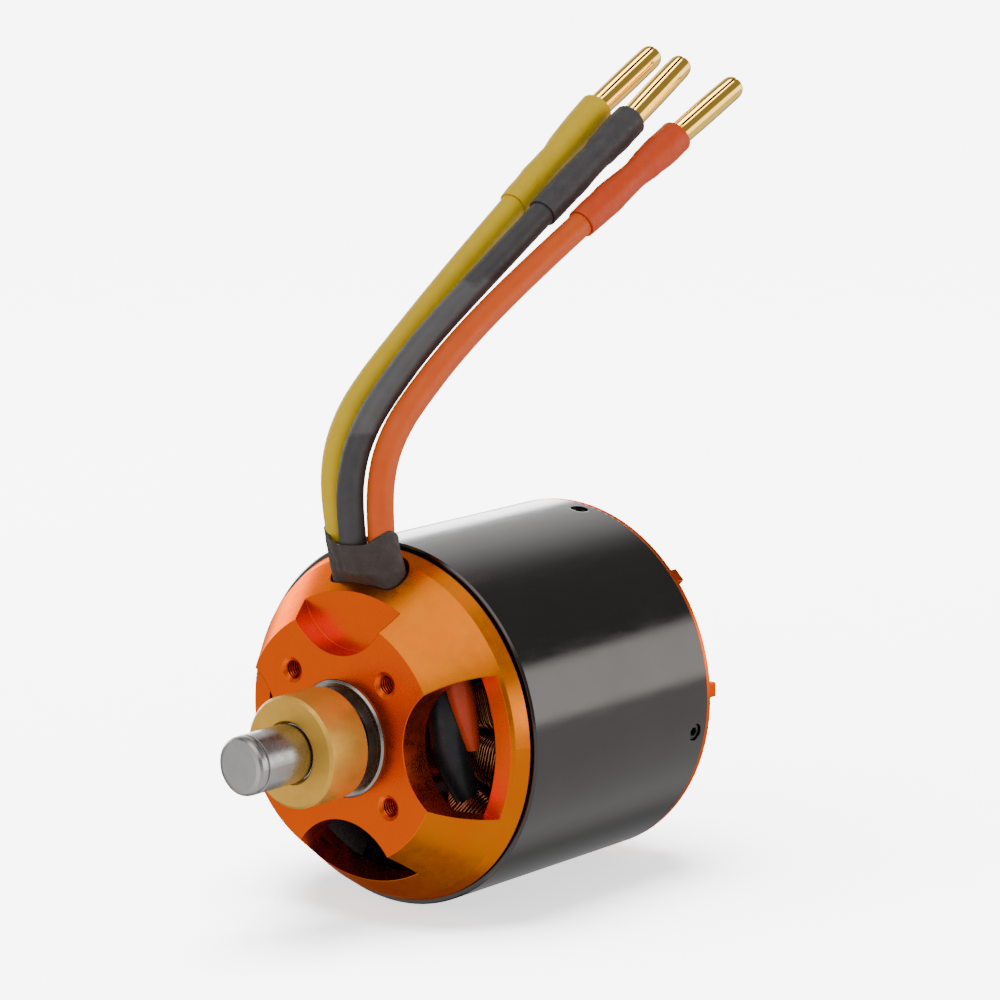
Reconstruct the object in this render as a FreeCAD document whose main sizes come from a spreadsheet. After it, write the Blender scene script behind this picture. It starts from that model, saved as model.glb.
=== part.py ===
"""Brushless outrunner motor: a can that turns round a fixed, wound stator.

Frame: the origin is the centre of the mounting face, on the shaft's axis. +Y runs along the shaft from the
mounting face into the motor, +Z points up to where the three leads come out, and +X is to the right of someone
who looks at the mounting face. All lengths are in millimetres.
"""
import FreeCAD, Part
import math
import os

import Sketcher
from FreeCAD import Placement, Rotation, Vector

DIMENSIONS = {
    # mount bracket: face plate, cone, rim band and the tube that carries the stator
    "face_radius": 17.0,
    "plate_thick": 4.5,
    "cone_radius": 23.4,
    "cone_back": 8.5,
    "rim_radius": 24.3,
    "rim_back": 10.45,
    "rim_bore": 20.3,
    "ledge_depth": 8.0,
    "hollow_front_radius": 18.2,
    "tube_radius": 9.5,
    "tube_bore": 7.0,
    "tube_back": 46.0,
    "scallop_radius": 9.7,
    "scallop_offset": 20.85,
    "blind_scallop_radius": 8.9,
    "blind_scallop_offset": 20.2,
    "blind_scallop_depth": 3.2,
    "mount_hole_circle": 23.5,
    "mount_hole_diameter": 2.5,
    "mount_hole_mouth": 3.6,
    "lead_slot_length": 12.6,
    "lead_slot_width": 4.8,
    "lead_slot_middle": 6.9,
    "lead_slot_base": 14.0,
    # ball bearings, 8 x 16 x 5
    "bearing_outer": 8.0,
    "bearing_width": 5.0,
    "bearing_stand_off": 0.45,
    "rear_bearing_front": 41.0,
    "outer_land": 6.75,
    "inner_land": 5.25,
    "shield_seat": 7.1,
    "shield_bore": 5.4,
    "shield_inset": 0.2,
    "shield_thick": 0.25,
    "ball_pitch_radius": 6.0,
    "ball_radius": 1.0,
    "race_radius": 1.04,
    "cage_inner": 5.55,
    "cage_outer": 6.45,
    "cage_width": 2.7,
    # shaft, collar and spacers
    "shaft_radius": 4.0,
    "shaft_front": -19.4,
    "shaft_back": 54.9,
    "shaft_groove_radius": 3.75,
    "relief_front": -10.05,
    "bore_clearance": 0.02,
    "collar_front": -9.9,
    "collar_back": -2.7,
    "collar_radius": 7.6,
    "spacer_radius": 5.5,
    # stator core and coils
    "core_radius": 20.5,
    "core_yoke": 12.4,
    "core_front": 17.0,
    "core_back": 41.0,
    "tooth_width": 4.0,
    "shoe_start": 18.7,
    "shoe_half_width": 4.4,
    "coil_inner": 12.7,
    "coil_outer": 18.3,
    "coil_inner_half": 3.0,
    "coil_outer_half": 4.5,
    "coil_front": 12.6,
    "coil_back": 45.0,
    "coil_tooth_gap": 0.3,
    # flux ring, magnets and end bell
    "can_radius": 25.0,
    "can_bore": 23.5,
    "can_front": 10.8,
    "can_back": 47.8,
    "magnet_inner": 21.1,
    "magnet_front": 16.0,
    "magnet_back": 42.0,
    "magnet_arc": 22.0,
    "bell_spigot_front": 43.3,
    "bell_spigot_bore": 21.0,
    "bell_web_front": 47.0,
    "bell_lip_back": 48.5,
    "bell_rim_radius": 23.4,
    "bell_rim_back": 50.2,
    "bell_hub_radius": 11.0,
    "bell_back": 55.0,
    "rib_thick": 2.0,
    "rib_tip_radius": 21.9,
    "rib_tip_back": 53.8,
    "hub_hole_circle": 16.0,
    "hub_hole_diameter": 2.5,
    "hub_hole_depth": 6.0,
    # screws
    "can_screw_middle": 45.5,
    "can_screw_radius": 1.25,
    "can_screw_length": 3.2,
    "can_screw_head": 24.7,
    "set_screw_radius": 1.5,
    "bell_screw_middle": 51.5,
    # leads, heat-shrink sleeves and bullet connectors
    "lead_radius": 1.825,
    "sleeve_length": 22.5,
    "sleeve_lead_radius": 2.12,
    "sleeve_bullet_radius": 2.33,
    "bullet_radius": 1.75,
    "bullet_length": 14.0,
    "bullet_slit": 0.4,
}

MAGNET_COUNT = 14
TOOTH_COUNT = 12
RIB_COUNT = 8
BALL_COUNT = 9
CAN_SCREW_COUNT = 4
RIB_ANGLE = -1.5
CAN_SCREW_ANGLE = -11.0
BELL_SCREW_ANGLES = (21.0, 111.0)
FIRST_TOOTH_ANGLE = 15.0
Y_AXIS = Vector(0, 1, 0)
# The shaft's direction, +Y, in the sketch coordinates of each origin plane.
SHAFT_IN_PLANE = {"XY_Plane": Vector(0, 1, 0), "XZ_Plane": Vector(0, 0, -1), "YZ_Plane": Vector(1, 0, 0)}

# Each lead's route from the top of the exit wrap to its heat-shrink sleeve, and the sleeve's direction.
LEAD_ROUTES = {
    "yellow": [
        (-2.9, 4.3, 26.7), (-3.0, 3.5, 31.9), (-3.1, 4.1, 37.3), (-3.1, 6.5, 41.8), (-3.0, 10.3, 45.7),
        (-2.9, 18.7, 51.8), (-3.1, 30.8, 59.8), (-3.2, 42.1, 66.9),
    ],
    "black": [
        (0.8, 2.7, 26.3), (1.0, 2.0, 31.6), (1.1, 2.9, 37.0), (1.2, 5.3, 41.2), (1.3, 8.9, 44.9),
        (1.5, 17.2, 51.4), (1.8, 30.1, 59.1), (2.0, 42.1, 66.1),
    ],
    "orange": [
        (4.1, 4.8, 26.6), (4.4, 4.2, 31.6), (4.6, 5.0, 36.8), (4.7, 7.5, 40.9), (4.8, 11.1, 44.3),
        (5.1, 19.7, 50.7), (5.7, 32.4, 58.1), (6.6, 44.8, 64.6),
    ],
}
# Each coil tail's route inside the motor, from the bottom of the exit wrap to its coil.
TAIL_ROUTES = {
    "yellow": [
        (-3.9, 6.9, 19.3), (-4.7, 7.1, 15.8), (-8.4, 7.8, 12.4), (-12.7, 8.4, 8.6), (-15.0, 9.2, 3.4),
        (-15.4, 10.8, -0.8),
    ],
    "black": [
        (0.0, 6.9, 19.3), (0.4, 7.0, 15.7), (3.6, 7.7, 12.3), (8.7, 8.3, 9.2), (11.9, 8.5, 3.9),
        (12.3, 8.8, -2.9), (14.0, 10.3, -8.2),
    ],
    "orange": [
        (3.9, 6.9, 19.3), (5.2, 7.0, 16.7), (9.8, 7.6, 14.8), (14.0, 8.2, 10.4), (15.8, 8.8, 4.8),
        (16.1, 10.4, 0.4),
    ],
}


class Size:
    """A length, held as its value and as the spreadsheet expression that gives it."""

    def __init__(self, value, text):
        self.value = value
        self.text = text

    def __add__(self, other):
        other = as_size(other)
        return Size(self.value + other.value, f"({self.text} + {other.text})")

    def __sub__(self, other):
        other = as_size(other)
        return Size(self.value - other.value, f"({self.text} - {other.text})")

    def __mul__(self, factor):
        return Size(self.value * factor, f"({self.text} * {factor})")

    def __neg__(self):
        return self * -1


def as_size(length):
    """A plain number as a Size; a Size stays as it is."""
    return length if isinstance(length, Size) else Size(float(length), str(float(length)))


def polar(radius, degrees):
    """The two coordinates of a point at that radius and angle."""
    cosine = Size(radius.value * math.cos(math.radians(degrees)), f"({radius.text} * cos({degrees} deg))")
    sine = Size(radius.value * math.sin(math.radians(degrees)), f"({radius.text} * sin({degrees} deg))")
    return cosine, sine


doc = FreeCAD.newDocument("outrunner_motor")
sheet = doc.addObject("Spreadsheet::Sheet", "dims")
for row, (alias, number) in enumerate(DIMENSIONS.items(), start=1):
    sheet.set(f"A{row}", alias.replace("_", " "))
    sheet.set(f"B{row}", str(number))
    sheet.setAlias(f"B{row}", alias)
doc.recompute()
d = {alias: Size(number, f"dims.{alias}") for alias, number in DIMENSIONS.items()}
nodes = {}


def add_node(feature, label):
    """Name a finished sub-part and list it for export."""
    feature.Label = label
    nodes[label] = feature
    return feature


def bind(feature, prop, size):
    """Bind one property of a feature to a spreadsheet expression."""
    feature.setExpression(prop, as_size(size).text)


def origin_feature(body, role):
    """A body's own origin plane or axis."""
    return next(item for item in body.Origin.OriginFeatures if item.Role == role)


def add_sketch(body, name, plane="XY_Plane", turned=0.0, offset=None):
    """A sketch on one of the body's origin planes, turned about the Y axis or moved along its own normal."""
    sketch = body.newObject("Sketcher::SketchObject", name)
    sketch.AttachmentSupport = (origin_feature(body, plane), [""])
    sketch.MapMode = "FlatFace"
    if turned:
        sketch.AttachmentOffset = Placement(Vector(), Rotation(SHAFT_IN_PLANE[plane], -turned))
    if offset is not None:
        bind(sketch, "AttachmentOffset.Base.z", offset)
    return sketch


def place_point(sketch, geometry, vertex, name, point):
    """Dimension one sketch point from the sketch's origin."""
    for kind, axis, size in (("DistanceX", "x", point[0]), ("DistanceY", "y", point[1])):
        size = as_size(size)
        index = sketch.addConstraint(Sketcher.Constraint(kind, -1, 1, geometry, vertex, size.value))
        sketch.renameConstraint(index, f"{name}{axis}")
        sketch.setExpression(f"Constraints.{name}{axis}", size.text)


def draw_outline(sketch, outline):
    """A closed outline of straight edges through dimensioned corners."""
    corners = [Vector(as_size(x).value, as_size(y).value, 0) for x, y in outline]
    count = len(corners)
    for index in range(count):
        sketch.addGeometry(Part.LineSegment(corners[index], corners[(index + 1) % count]), False)
    for index in range(count):
        sketch.addConstraint(Sketcher.Constraint("Coincident", index, 2, (index + 1) % count, 1))
    for index, point in enumerate(outline):
        place_point(sketch, index, 1, f"corner{index}", point)


def draw_circle(sketch, name, centre, radius):
    """A circle with a dimensioned centre and radius."""
    middle = Vector(as_size(centre[0]).value, as_size(centre[1]).value, 0)
    index = sketch.addGeometry(Part.Circle(middle, Vector(0, 0, 1), radius.value), False)
    place_point(sketch, index, 3, name, centre)
    constraint = sketch.addConstraint(Sketcher.Constraint("Radius", index, radius.value))
    sketch.renameConstraint(constraint, f"{name}radius")
    sketch.setExpression(f"Constraints.{name}radius", radius.text)


def new_body(name):
    """An empty PartDesign body."""
    return doc.addObject("PartDesign::Body", name)


def revolve(body, name, outline, angle=None):
    """Turn an outline of (radius, y) corners about the Y axis and add it to the body."""
    sketch = add_sketch(body, f"{name}_outline")
    draw_outline(sketch, outline)
    feature = body.newObject("PartDesign::Revolution", name)
    feature.Profile = sketch
    feature.ReferenceAxis = (sketch, ["V_Axis"])
    feature.Angle = 360.0
    if angle is not None:
        feature.Midplane = True
        bind(feature, "Angle", angle)
    return feature


def turned_part(name, outline):
    """A body that is one turned outline."""
    body = new_body(name)
    revolve(body, f"{name}_turning", outline)
    return body


def pattern(body, feature, name, count):
    """Repeat a feature evenly round the Y axis."""
    around = body.newObject("PartDesign::PolarPattern", name)
    around.Originals = [feature]
    around.Axis = (origin_feature(body, "Y_Axis"), [""])
    around.Angle = 360.0
    around.Occurrences = count
    body.Tip = around
    return around


def cut_less(body, feature):
    """Recompute and make sure that a cut took material away."""
    before = feature.BaseFeature.Shape.Volume
    doc.recompute()
    if feature.Shape.Volume >= before - 1e-6:
        raise RuntimeError(f"{feature.Name} removes nothing from {body.Name}")


def pocket(body, name, sketch, length=None, reverse=False):
    """Cut a sketch into the body, to a depth or right through."""
    doc.recompute()
    feature = body.newObject("PartDesign::Pocket", name)
    feature.Profile = sketch
    feature.Reversed = reverse
    if length is None:
        feature.Type = "ThroughAll"
    else:
        bind(feature, "Length", length)
    cut_less(body, feature)
    return feature


def pad(body, name, sketch, length, reverse=False, middle=False):
    """Raise a sketch off its plane."""
    feature = body.newObject("PartDesign::Pad", name)
    feature.Profile = sketch
    feature.Reversed = reverse
    feature.Midplane = middle
    bind(feature, "Length", length)
    return feature


def radial_hole(body, name, middle, radius, angle, length=None, count=1):
    """A round hole along a radius, at that height on the Y axis, repeated round the axis."""
    sketch = add_sketch(body, f"{name}_outline", "YZ_Plane", turned=angle)
    draw_circle(sketch, "hole", (middle, 0.0), radius)
    feature = pocket(body, name, sketch, length, reverse=True)
    if count > 1:
        pattern(body, feature, f"{name}_pattern", count)


def boolean(kind, name, base, tool):
    """A Part boolean of two objects."""
    feature = doc.addObject(f"Part::{kind}", name)
    feature.Base = base
    feature.Tool = tool
    return feature


def group(name, features):
    """Several loose solids that share one node."""
    compound = doc.addObject("Part::Compound", name)
    compound.Links = features
    return compound


def mount_bracket():
    """Anodised bracket: face plate with four scallops, cone, rim and stator tube in one turned piece."""
    body = new_body("mount_bracket")
    seat_floor = d["bearing_width"] - d["bearing_stand_off"]
    revolve(body, "bracket_turning", [
        (d["bearing_outer"], 0.0),
        (d["face_radius"], 0.0),
        (d["cone_radius"], d["cone_back"]),
        (d["rim_radius"], d["rim_back"]),
        (d["rim_bore"], d["rim_back"]),
        (d["rim_bore"], d["ledge_depth"]),
        (d["hollow_front_radius"], d["plate_thick"]),
        (d["tube_radius"], d["plate_thick"]),
        (d["tube_radius"], d["tube_back"]),
        (d["bearing_outer"], d["tube_back"]),
        (d["bearing_outer"], d["rear_bearing_front"]),
        (d["tube_bore"], d["rear_bearing_front"]),
        (d["tube_bore"], seat_floor),
        (d["bearing_outer"], seat_floor),
    ])
    windows = add_sketch(body, "window_outline", "XZ_Plane")
    for name, centre in (
        ("right", (d["scallop_offset"], 0.0)),
        ("left", (-d["scallop_offset"], 0.0)),
    ):
        draw_circle(windows, name, centre, d["scallop_radius"])
    pocket(body, "windows", windows, d["ledge_depth"])
    low_window = add_sketch(body, "low_window_outline", "XZ_Plane")
    draw_lens(low_window, d["scallop_offset"], d["scallop_radius"], d["rim_bore"])
    pocket(body, "low_window", low_window, d["ledge_depth"])
    blind = add_sketch(body, "blind_scallop_outline", "XZ_Plane")
    draw_circle(blind, "top", (0.0, d["blind_scallop_offset"]), d["blind_scallop_radius"])
    pocket(body, "blind_scallop", blind, d["blind_scallop_depth"])
    lead_slot(body)
    mount_holes(body)
    return add_node(body, "mount_bracket")


def lead_slot(body):
    """The slot through the top of the cone that the three leads come out of."""
    sketch = add_sketch(body, "lead_slot_outline", "XY_Plane", offset=d["lead_slot_base"])
    draw_slot(sketch, d["lead_slot_length"], d["lead_slot_width"], d["lead_slot_middle"])
    pocket(body, "lead_slot", sketch, reverse=True)


def draw_slot(sketch, length, width, middle, shift=0.0):
    """A slot along X with round ends, its centre at x = shift and y = middle."""
    radius = width * 0.5
    reach = length * 0.5 - radius
    top = middle + radius
    bottom = middle - radius
    shift = as_size(shift)
    for side, start, end in ((1, -90, 90), (-1, 90, 270)):
        centre = reach * side + shift
        circle = Part.Circle(Vector(centre.value, middle.value, 0), Vector(0, 0, 1), radius.value)
        arc = Part.ArcOfCircle(circle, math.radians(start), math.radians(end))
        index = sketch.addGeometry(arc, False)
        place_point(sketch, index, 3, "right" if side > 0 else "left", (centre, middle))
    for height in (top, bottom):
        left = Vector(shift.value - reach.value, height.value, 0)
        right = Vector(shift.value + reach.value, height.value, 0)
        sketch.addGeometry(Part.LineSegment(left, right), False)
    for line, line_end, arc, arc_end in ((2, 2, 0, 2), (2, 1, 1, 1), (3, 2, 0, 1), (3, 1, 1, 2)):
        sketch.addConstraint(Sketcher.Constraint("Tangent", line, line_end, arc, arc_end))
    constraint = sketch.addConstraint(Sketcher.Constraint("Radius", 0, radius.value))
    sketch.renameConstraint(constraint, "end_radius")
    sketch.setExpression("Constraints.end_radius", radius.text)


def draw_lens(sketch, offset, radius, bore):
    """What a circle that far below the origin shares with a circle round the origin."""
    height = (bore.value ** 2 - radius.value ** 2 + offset.value ** 2) / (2.0 * offset.value)
    half = math.sqrt(bore.value ** 2 - height ** 2)
    upper = math.atan2(offset.value - height, half)
    lower = math.atan2(half, height)
    for name, centre, size, start, end in (
        ("scallop", (0.0, -offset), radius, upper, math.pi - upper),
        ("bore", (0.0, 0.0), bore, 1.5 * math.pi - lower, 1.5 * math.pi + lower),
    ):
        circle = Part.Circle(Vector(0, as_size(centre[1]).value, 0), Vector(0, 0, 1), size.value)
        index = sketch.addGeometry(Part.ArcOfCircle(circle, start, end), False)
        place_point(sketch, index, 3, name, centre)
        constraint = sketch.addConstraint(Sketcher.Constraint("Radius", index, size.value))
        sketch.renameConstraint(constraint, f"{name}radius")
        sketch.setExpression(f"Constraints.{name}radius", size.text)
    sketch.addConstraint(Sketcher.Constraint("Coincident", 0, 2, 1, 1))
    sketch.addConstraint(Sketcher.Constraint("Coincident", 1, 2, 0, 1))


def mount_holes(body):
    """Four threaded, countersunk holes in the face plate."""
    sketch = add_sketch(body, "mount_hole_outline", "XZ_Plane")
    for quarter in range(4):
        centre = polar(d["mount_hole_circle"] * 0.5, 45 + 90 * quarter)
        draw_circle(sketch, f"hole{quarter}", centre, d["mount_hole_diameter"] * 0.5)
    doc.recompute()
    holes = body.newObject("PartDesign::Hole", "mount_holes")
    holes.Profile = sketch
    holes.Threaded = False
    holes.DepthType = "ThroughAll"
    bind(holes, "Diameter", d["mount_hole_diameter"])
    holes.HoleCutType = "Countersink"
    holes.HoleCutCustomValues = True
    bind(holes, "HoleCutDiameter", d["mount_hole_mouth"])
    holes.HoleCutCountersinkAngle = 120.0
    cut_less(body, holes)


def grooved_ring(name, outline, middle):
    """A turned bearing ring with a ball groove cut into it."""
    blank = turned_part(f"{name}_blank", outline)
    groove = doc.addObject("Part::Torus", f"{name}_groove")
    bind(groove, "Radius1", d["ball_pitch_radius"])
    bind(groove, "Radius2", d["race_radius"])
    groove.Placement = Placement(Vector(), Rotation(Vector(1, 0, 0), -90))
    bind(groove, "Placement.Base.y", middle)
    return add_node(boolean("Cut", f"{name}_cut", blank, groove), name)


def bearing(side, front):
    """One ball bearing from its front face: two rings, two shields, the balls and their cage."""
    edge = 0.25
    back = front + d["bearing_width"]
    middle = front + d["bearing_width"] * 0.5
    recess = d["shield_inset"] + d["shield_thick"] + 0.05
    outer_edge = d["bearing_outer"] - edge
    grooved_ring(f"{side}_bearing_outer_ring", [
        (d["shield_seat"], front),
        (outer_edge, front),
        (d["bearing_outer"], front + edge),
        (d["bearing_outer"], back - edge),
        (outer_edge, back),
        (d["shield_seat"], back),
        (d["shield_seat"], back - recess),
        (d["outer_land"], back - recess),
        (d["outer_land"], front + recess),
        (d["shield_seat"], front + recess),
    ], middle)
    bore = d["shaft_radius"] + d["bore_clearance"]
    grooved_ring(f"{side}_bearing_inner_ring", [
        (bore, front),
        (d["inner_land"], front),
        (d["inner_land"], back),
        (bore, back),
    ], middle)
    shields = []
    for place, start in (("front", front + d["shield_inset"]),
                         ("back", back - d["shield_inset"] - d["shield_thick"])):
        shields.append(turned_part(f"{side}_{place}_shield", [
            (d["shield_bore"], start),
            (d["shield_seat"], start),
            (d["shield_seat"], start + d["shield_thick"]),
            (d["shield_bore"], start + d["shield_thick"]),
        ]))
    add_node(group(f"{side}_shield_pair", shields), f"{side}_bearing_shields")
    cage = turned_part(f"{side}_cage_ring", [
        (d["cage_inner"], middle - d["cage_width"] * 0.5),
        (d["cage_outer"], middle - d["cage_width"] * 0.5),
        (d["cage_outer"], middle + d["cage_width"] * 0.5),
        (d["cage_inner"], middle + d["cage_width"] * 0.5),
    ])
    radial_hole(cage, f"{side}_cage_pockets", middle, d["race_radius"], 0.0, count=BALL_COUNT)
    add_node(cage, f"{side}_bearing_cage")
    balls = []
    for index in range(BALL_COUNT):
        ball = doc.addObject("Part::Sphere", f"{side}_ball")
        bind(ball, "Radius", d["ball_radius"])
        x, z = polar(d["ball_pitch_radius"], 360.0 / BALL_COUNT * index)
        bind(ball, "Placement.Base.x", x)
        bind(ball, "Placement.Base.y", middle)
        bind(ball, "Placement.Base.z", z)
        balls.append(ball)
    add_node(group(f"{side}_ball_set", balls), f"{side}_bearing_balls")


def shaft():
    """Ground steel shaft: rounded front tip, a narrow groove behind it and a relief under the collar's edge."""
    radius = d["shaft_radius"]
    front = d["shaft_front"]
    back = d["shaft_back"]
    groove = d["shaft_groove_radius"]
    body = turned_part("shaft", [
        (0.0, front),
        (radius - 0.95, front),
        (radius - 0.4, front + 0.16),
        (radius - 0.1, front + 0.46),
        (radius, front + 0.9),
        (radius, front + 1.3),
        (groove, front + 1.4),
        (groove, front + 1.6),
        (radius, front + 1.7),
        (radius, d["relief_front"]),
        (groove, d["relief_front"] + 0.1),
        (groove, d["relief_front"] + 0.7),
        (radius, d["relief_front"] + 0.8),
        (radius, back - 0.5),
        (radius - 0.5, back),
        (0.0, back),
    ])
    return add_node(body, "shaft")


def shaft_collar():
    """Brass collar in front of the mounting face, with its set screw, and the spacer behind it."""
    bore = d["shaft_radius"] + d["bore_clearance"]
    body = turned_part("shaft_collar", [
        (bore + 0.3, d["collar_front"]),
        (d["collar_radius"] - 0.4, d["collar_front"]),
        (d["collar_radius"], d["collar_front"] + 0.4),
        (d["collar_radius"], d["collar_back"] - 0.2),
        (d["collar_radius"] - 0.2, d["collar_back"]),
        (bore, d["collar_back"]),
        (bore, d["collar_front"] + 0.3),
    ])
    middle = (d["collar_front"] + d["collar_back"]) * 0.5
    screw_angle = 160.0
    radial_hole(body, "collar_screw_hole", middle, d["set_screw_radius"], screw_angle)
    add_node(body, "shaft_collar")
    screw = grub_screw("collar_screw", d["set_screw_radius"], 3.2, screw_angle,
                       d["collar_radius"] - 0.25, middle)
    add_node(screw, "collar_set_screw")
    for name, start, end in (
        ("front_spacer", d["collar_back"], -d["bearing_stand_off"]),
        ("rear_spacer", d["rear_bearing_front"] + d["bearing_width"], d["bell_web_front"]),
    ):
        add_node(turned_part(name, [
            (bore, start),
            (d["spacer_radius"] - 0.3, start),
            (d["spacer_radius"] - 0.3, end),
            (bore, end),
        ]), name)


def grub_screw(name, radius, length, angle, head_radius, middle):
    """A socket set screw along a radius, its socket facing outwards at head_radius."""
    body = new_body(name)
    length = as_size(length)
    fit = radius - 0.03
    revolve(body, f"{name}_turning", [
        (0.0, -length),
        (fit - 0.3, -length),
        (fit, -length + 0.3),
        (fit, -0.15),
        (fit - 0.15, 0.0),
        (0.0, 0.0),
    ])
    socket = add_sketch(body, f"{name}_socket_outline", "XZ_Plane")
    draw_outline(socket, [polar(radius * 0.55, 60.0 * corner) for corner in range(6)])
    pocket(body, f"{name}_socket", socket, radius * 0.9, reverse=True)
    outward = Rotation(Y_AXIS, Vector(math.cos(math.radians(angle)), 0, math.sin(math.radians(angle))))
    body.Placement = Placement(Vector(), outward)
    x, z = polar(head_radius, angle)
    bind(body, "Placement.Base.x", x)
    bind(body, "Placement.Base.y", middle)
    bind(body, "Placement.Base.z", z)
    return body


def stator_core():
    """Laminated core: a yoke with twelve teeth that end in shoes."""
    body = new_body("stator_laminations")
    length = d["core_back"] - d["core_front"]
    bore = d["tube_radius"] + d["bore_clearance"]
    revolve(body, "core_yoke_turning", [
        (bore, d["core_front"]),
        (d["core_yoke"], d["core_front"]),
        (d["core_yoke"], d["core_back"]),
        (bore, d["core_back"]),
    ])
    half = d["tooth_width"] * 0.5
    tooth = add_sketch(body, "tooth_outline", "XZ_Plane", turned=FIRST_TOOTH_ANGLE, offset=-d["core_front"])
    draw_outline(tooth, [
        (d["core_yoke"] - 0.5, -half),
        (d["shoe_start"], -half),
        (d["shoe_start"] + 0.7, -d["shoe_half_width"]),
        (d["core_radius"] + 1.0, -d["shoe_half_width"]),
        (d["core_radius"] + 1.0, d["shoe_half_width"]),
        (d["shoe_start"] + 0.7, d["shoe_half_width"]),
        (d["shoe_start"], half),
        (d["core_yoke"] - 0.5, half),
    ])
    teeth = pad(body, "tooth", tooth, length, reverse=True)
    pattern(body, teeth, "teeth", TOOTH_COUNT)
    trim = add_sketch(body, "core_trim_outline")
    draw_outline(trim, [
        (d["core_radius"], d["core_front"] - 1.0),
        (d["can_radius"], d["core_front"] - 1.0),
        (d["can_radius"], d["core_back"] + 1.0),
        (d["core_radius"], d["core_back"] + 1.0),
    ])
    doc.recompute()
    groove = body.newObject("PartDesign::Groove", "core_trim")
    groove.Profile = trim
    groove.ReferenceAxis = (trim, ["V_Axis"])
    groove.Angle = 360.0
    cut_less(body, groove)
    return add_node(body, "stator_laminations")


def coil(index):
    """One coil, wound round one tooth: a wedge-shaped loop with the tooth's window through it."""
    name = f"coil_{index + 1:02d}"
    body = new_body(name)
    outline = add_sketch(body, f"{name}_outline", "XZ_Plane", offset=-d["coil_front"])
    draw_outline(outline, [
        (d["coil_inner"], -d["coil_inner_half"]),
        (d["coil_outer"], -d["coil_outer_half"]),
        (d["coil_outer"], d["coil_outer_half"]),
        (d["coil_inner"], d["coil_inner_half"]),
    ])
    pad(body, f"{name}_turns", outline, d["coil_back"] - d["coil_front"], reverse=True)
    half = d["tooth_width"] * 0.5 + d["coil_tooth_gap"]
    window = add_sketch(body, f"{name}_window_outline", "YZ_Plane")
    draw_outline(window, [
        (d["core_front"] - d["coil_tooth_gap"], -half),
        (d["core_back"] + d["coil_tooth_gap"], -half),
        (d["core_back"] + d["coil_tooth_gap"], half),
        (d["core_front"] - d["coil_tooth_gap"], half),
    ])
    pocket(body, f"{name}_window", window, reverse=True)
    angle = FIRST_TOOTH_ANGLE + 360.0 / TOOTH_COUNT * index
    body.Placement = Placement(Vector(), Rotation(Y_AXIS, -angle))
    return add_node(body, name)


def flux_ring():
    """Steel can with four screw holes near its back edge."""
    body = turned_part("flux_ring", [
        (d["can_bore"], d["can_front"]),
        (d["can_radius"] - 0.25, d["can_front"]),
        (d["can_radius"], d["can_front"] + 0.25),
        (d["can_radius"], d["can_back"]),
        (d["can_bore"], d["can_back"]),
    ])
    radial_hole(body, "can_screw_holes", d["can_screw_middle"], d["can_screw_radius"], CAN_SCREW_ANGLE,
                count=CAN_SCREW_COUNT)
    return add_node(body, "flux_ring")


def magnet(index):
    """One curved magnet on the inside of the can."""
    name = f"magnet_{index + 1:02d}"
    body = new_body(name)
    outer = d["can_bore"] - d["bore_clearance"]
    revolve(body, f"{name}_arc", [
        (d["magnet_inner"], d["magnet_front"]),
        (outer, d["magnet_front"]),
        (outer, d["magnet_back"]),
        (d["magnet_inner"], d["magnet_back"]),
    ], angle=d["magnet_arc"])
    body.Placement = Placement(Vector(), Rotation(Y_AXIS, 360.0 / MAGNET_COUNT * index))
    return add_node(body, name)


def end_bell():
    """Anodised bell: hub, eight ribs and the rim that plugs into the back of the can."""
    body = new_body("end_bell")
    bore = d["shaft_radius"] + d["bore_clearance"]
    revolve(body, "bell_hub", [
        (bore, d["bell_web_front"]),
        (d["bell_hub_radius"], d["bell_web_front"]),
        (d["bell_hub_radius"], d["bell_back"] - 0.4),
        (d["bell_hub_radius"] - 0.4, d["bell_back"]),
        (bore + 0.4, d["bell_back"]),
        (bore, d["bell_back"] - 0.4),
    ])
    rib = add_sketch(body, "rib_outline", "XY_Plane", turned=RIB_ANGLE)
    draw_outline(rib, [
        (d["bell_hub_radius"] - 1.0, d["bell_web_front"]),
        (d["rib_tip_radius"], d["bell_web_front"]),
        (d["rib_tip_radius"], d["rib_tip_back"]),
        (d["bell_hub_radius"] - 1.0, d["bell_back"] - 0.6),
    ])
    ribs = pad(body, "rib", rib, d["rib_thick"], middle=True)
    pattern(body, ribs, "ribs", RIB_COUNT)
    spigot = d["can_bore"] - d["bore_clearance"]
    revolve(body, "bell_rim", [
        (d["bell_spigot_bore"], d["bell_spigot_front"]),
        (spigot, d["bell_spigot_front"]),
        (spigot, d["can_back"]),
        (d["can_radius"], d["can_back"]),
        (d["can_radius"], d["bell_lip_back"]),
        (d["bell_rim_radius"], d["bell_rim_back"]),
        (d["bell_spigot_bore"], d["bell_rim_back"]),
    ])
    radial_hole(body, "bell_can_screw_holes", d["can_screw_middle"], d["can_screw_radius"], CAN_SCREW_ANGLE,
                count=CAN_SCREW_COUNT)
    for number, angle in enumerate(BELL_SCREW_ANGLES):
        radial_hole(body, f"bell_set_screw_hole{number}", d["bell_screw_middle"], d["set_screw_radius"], angle,
                    d["bell_hub_radius"] + 1.0)
    adapter_holes(body)
    return add_node(body, "end_bell")


def adapter_holes(body):
    """Four threaded holes in the back of the hub, for the propeller adapter."""
    sketch = add_sketch(body, "adapter_hole_outline", "XZ_Plane", offset=-d["bell_back"])
    for quarter in range(4):
        centre = polar(d["hub_hole_circle"] * 0.5, 66.0 + 90 * quarter)
        draw_circle(sketch, f"hole{quarter}", centre, d["hub_hole_diameter"] * 0.5)
    pocket(body, "adapter_holes", sketch, d["hub_hole_depth"], reverse=True)


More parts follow.
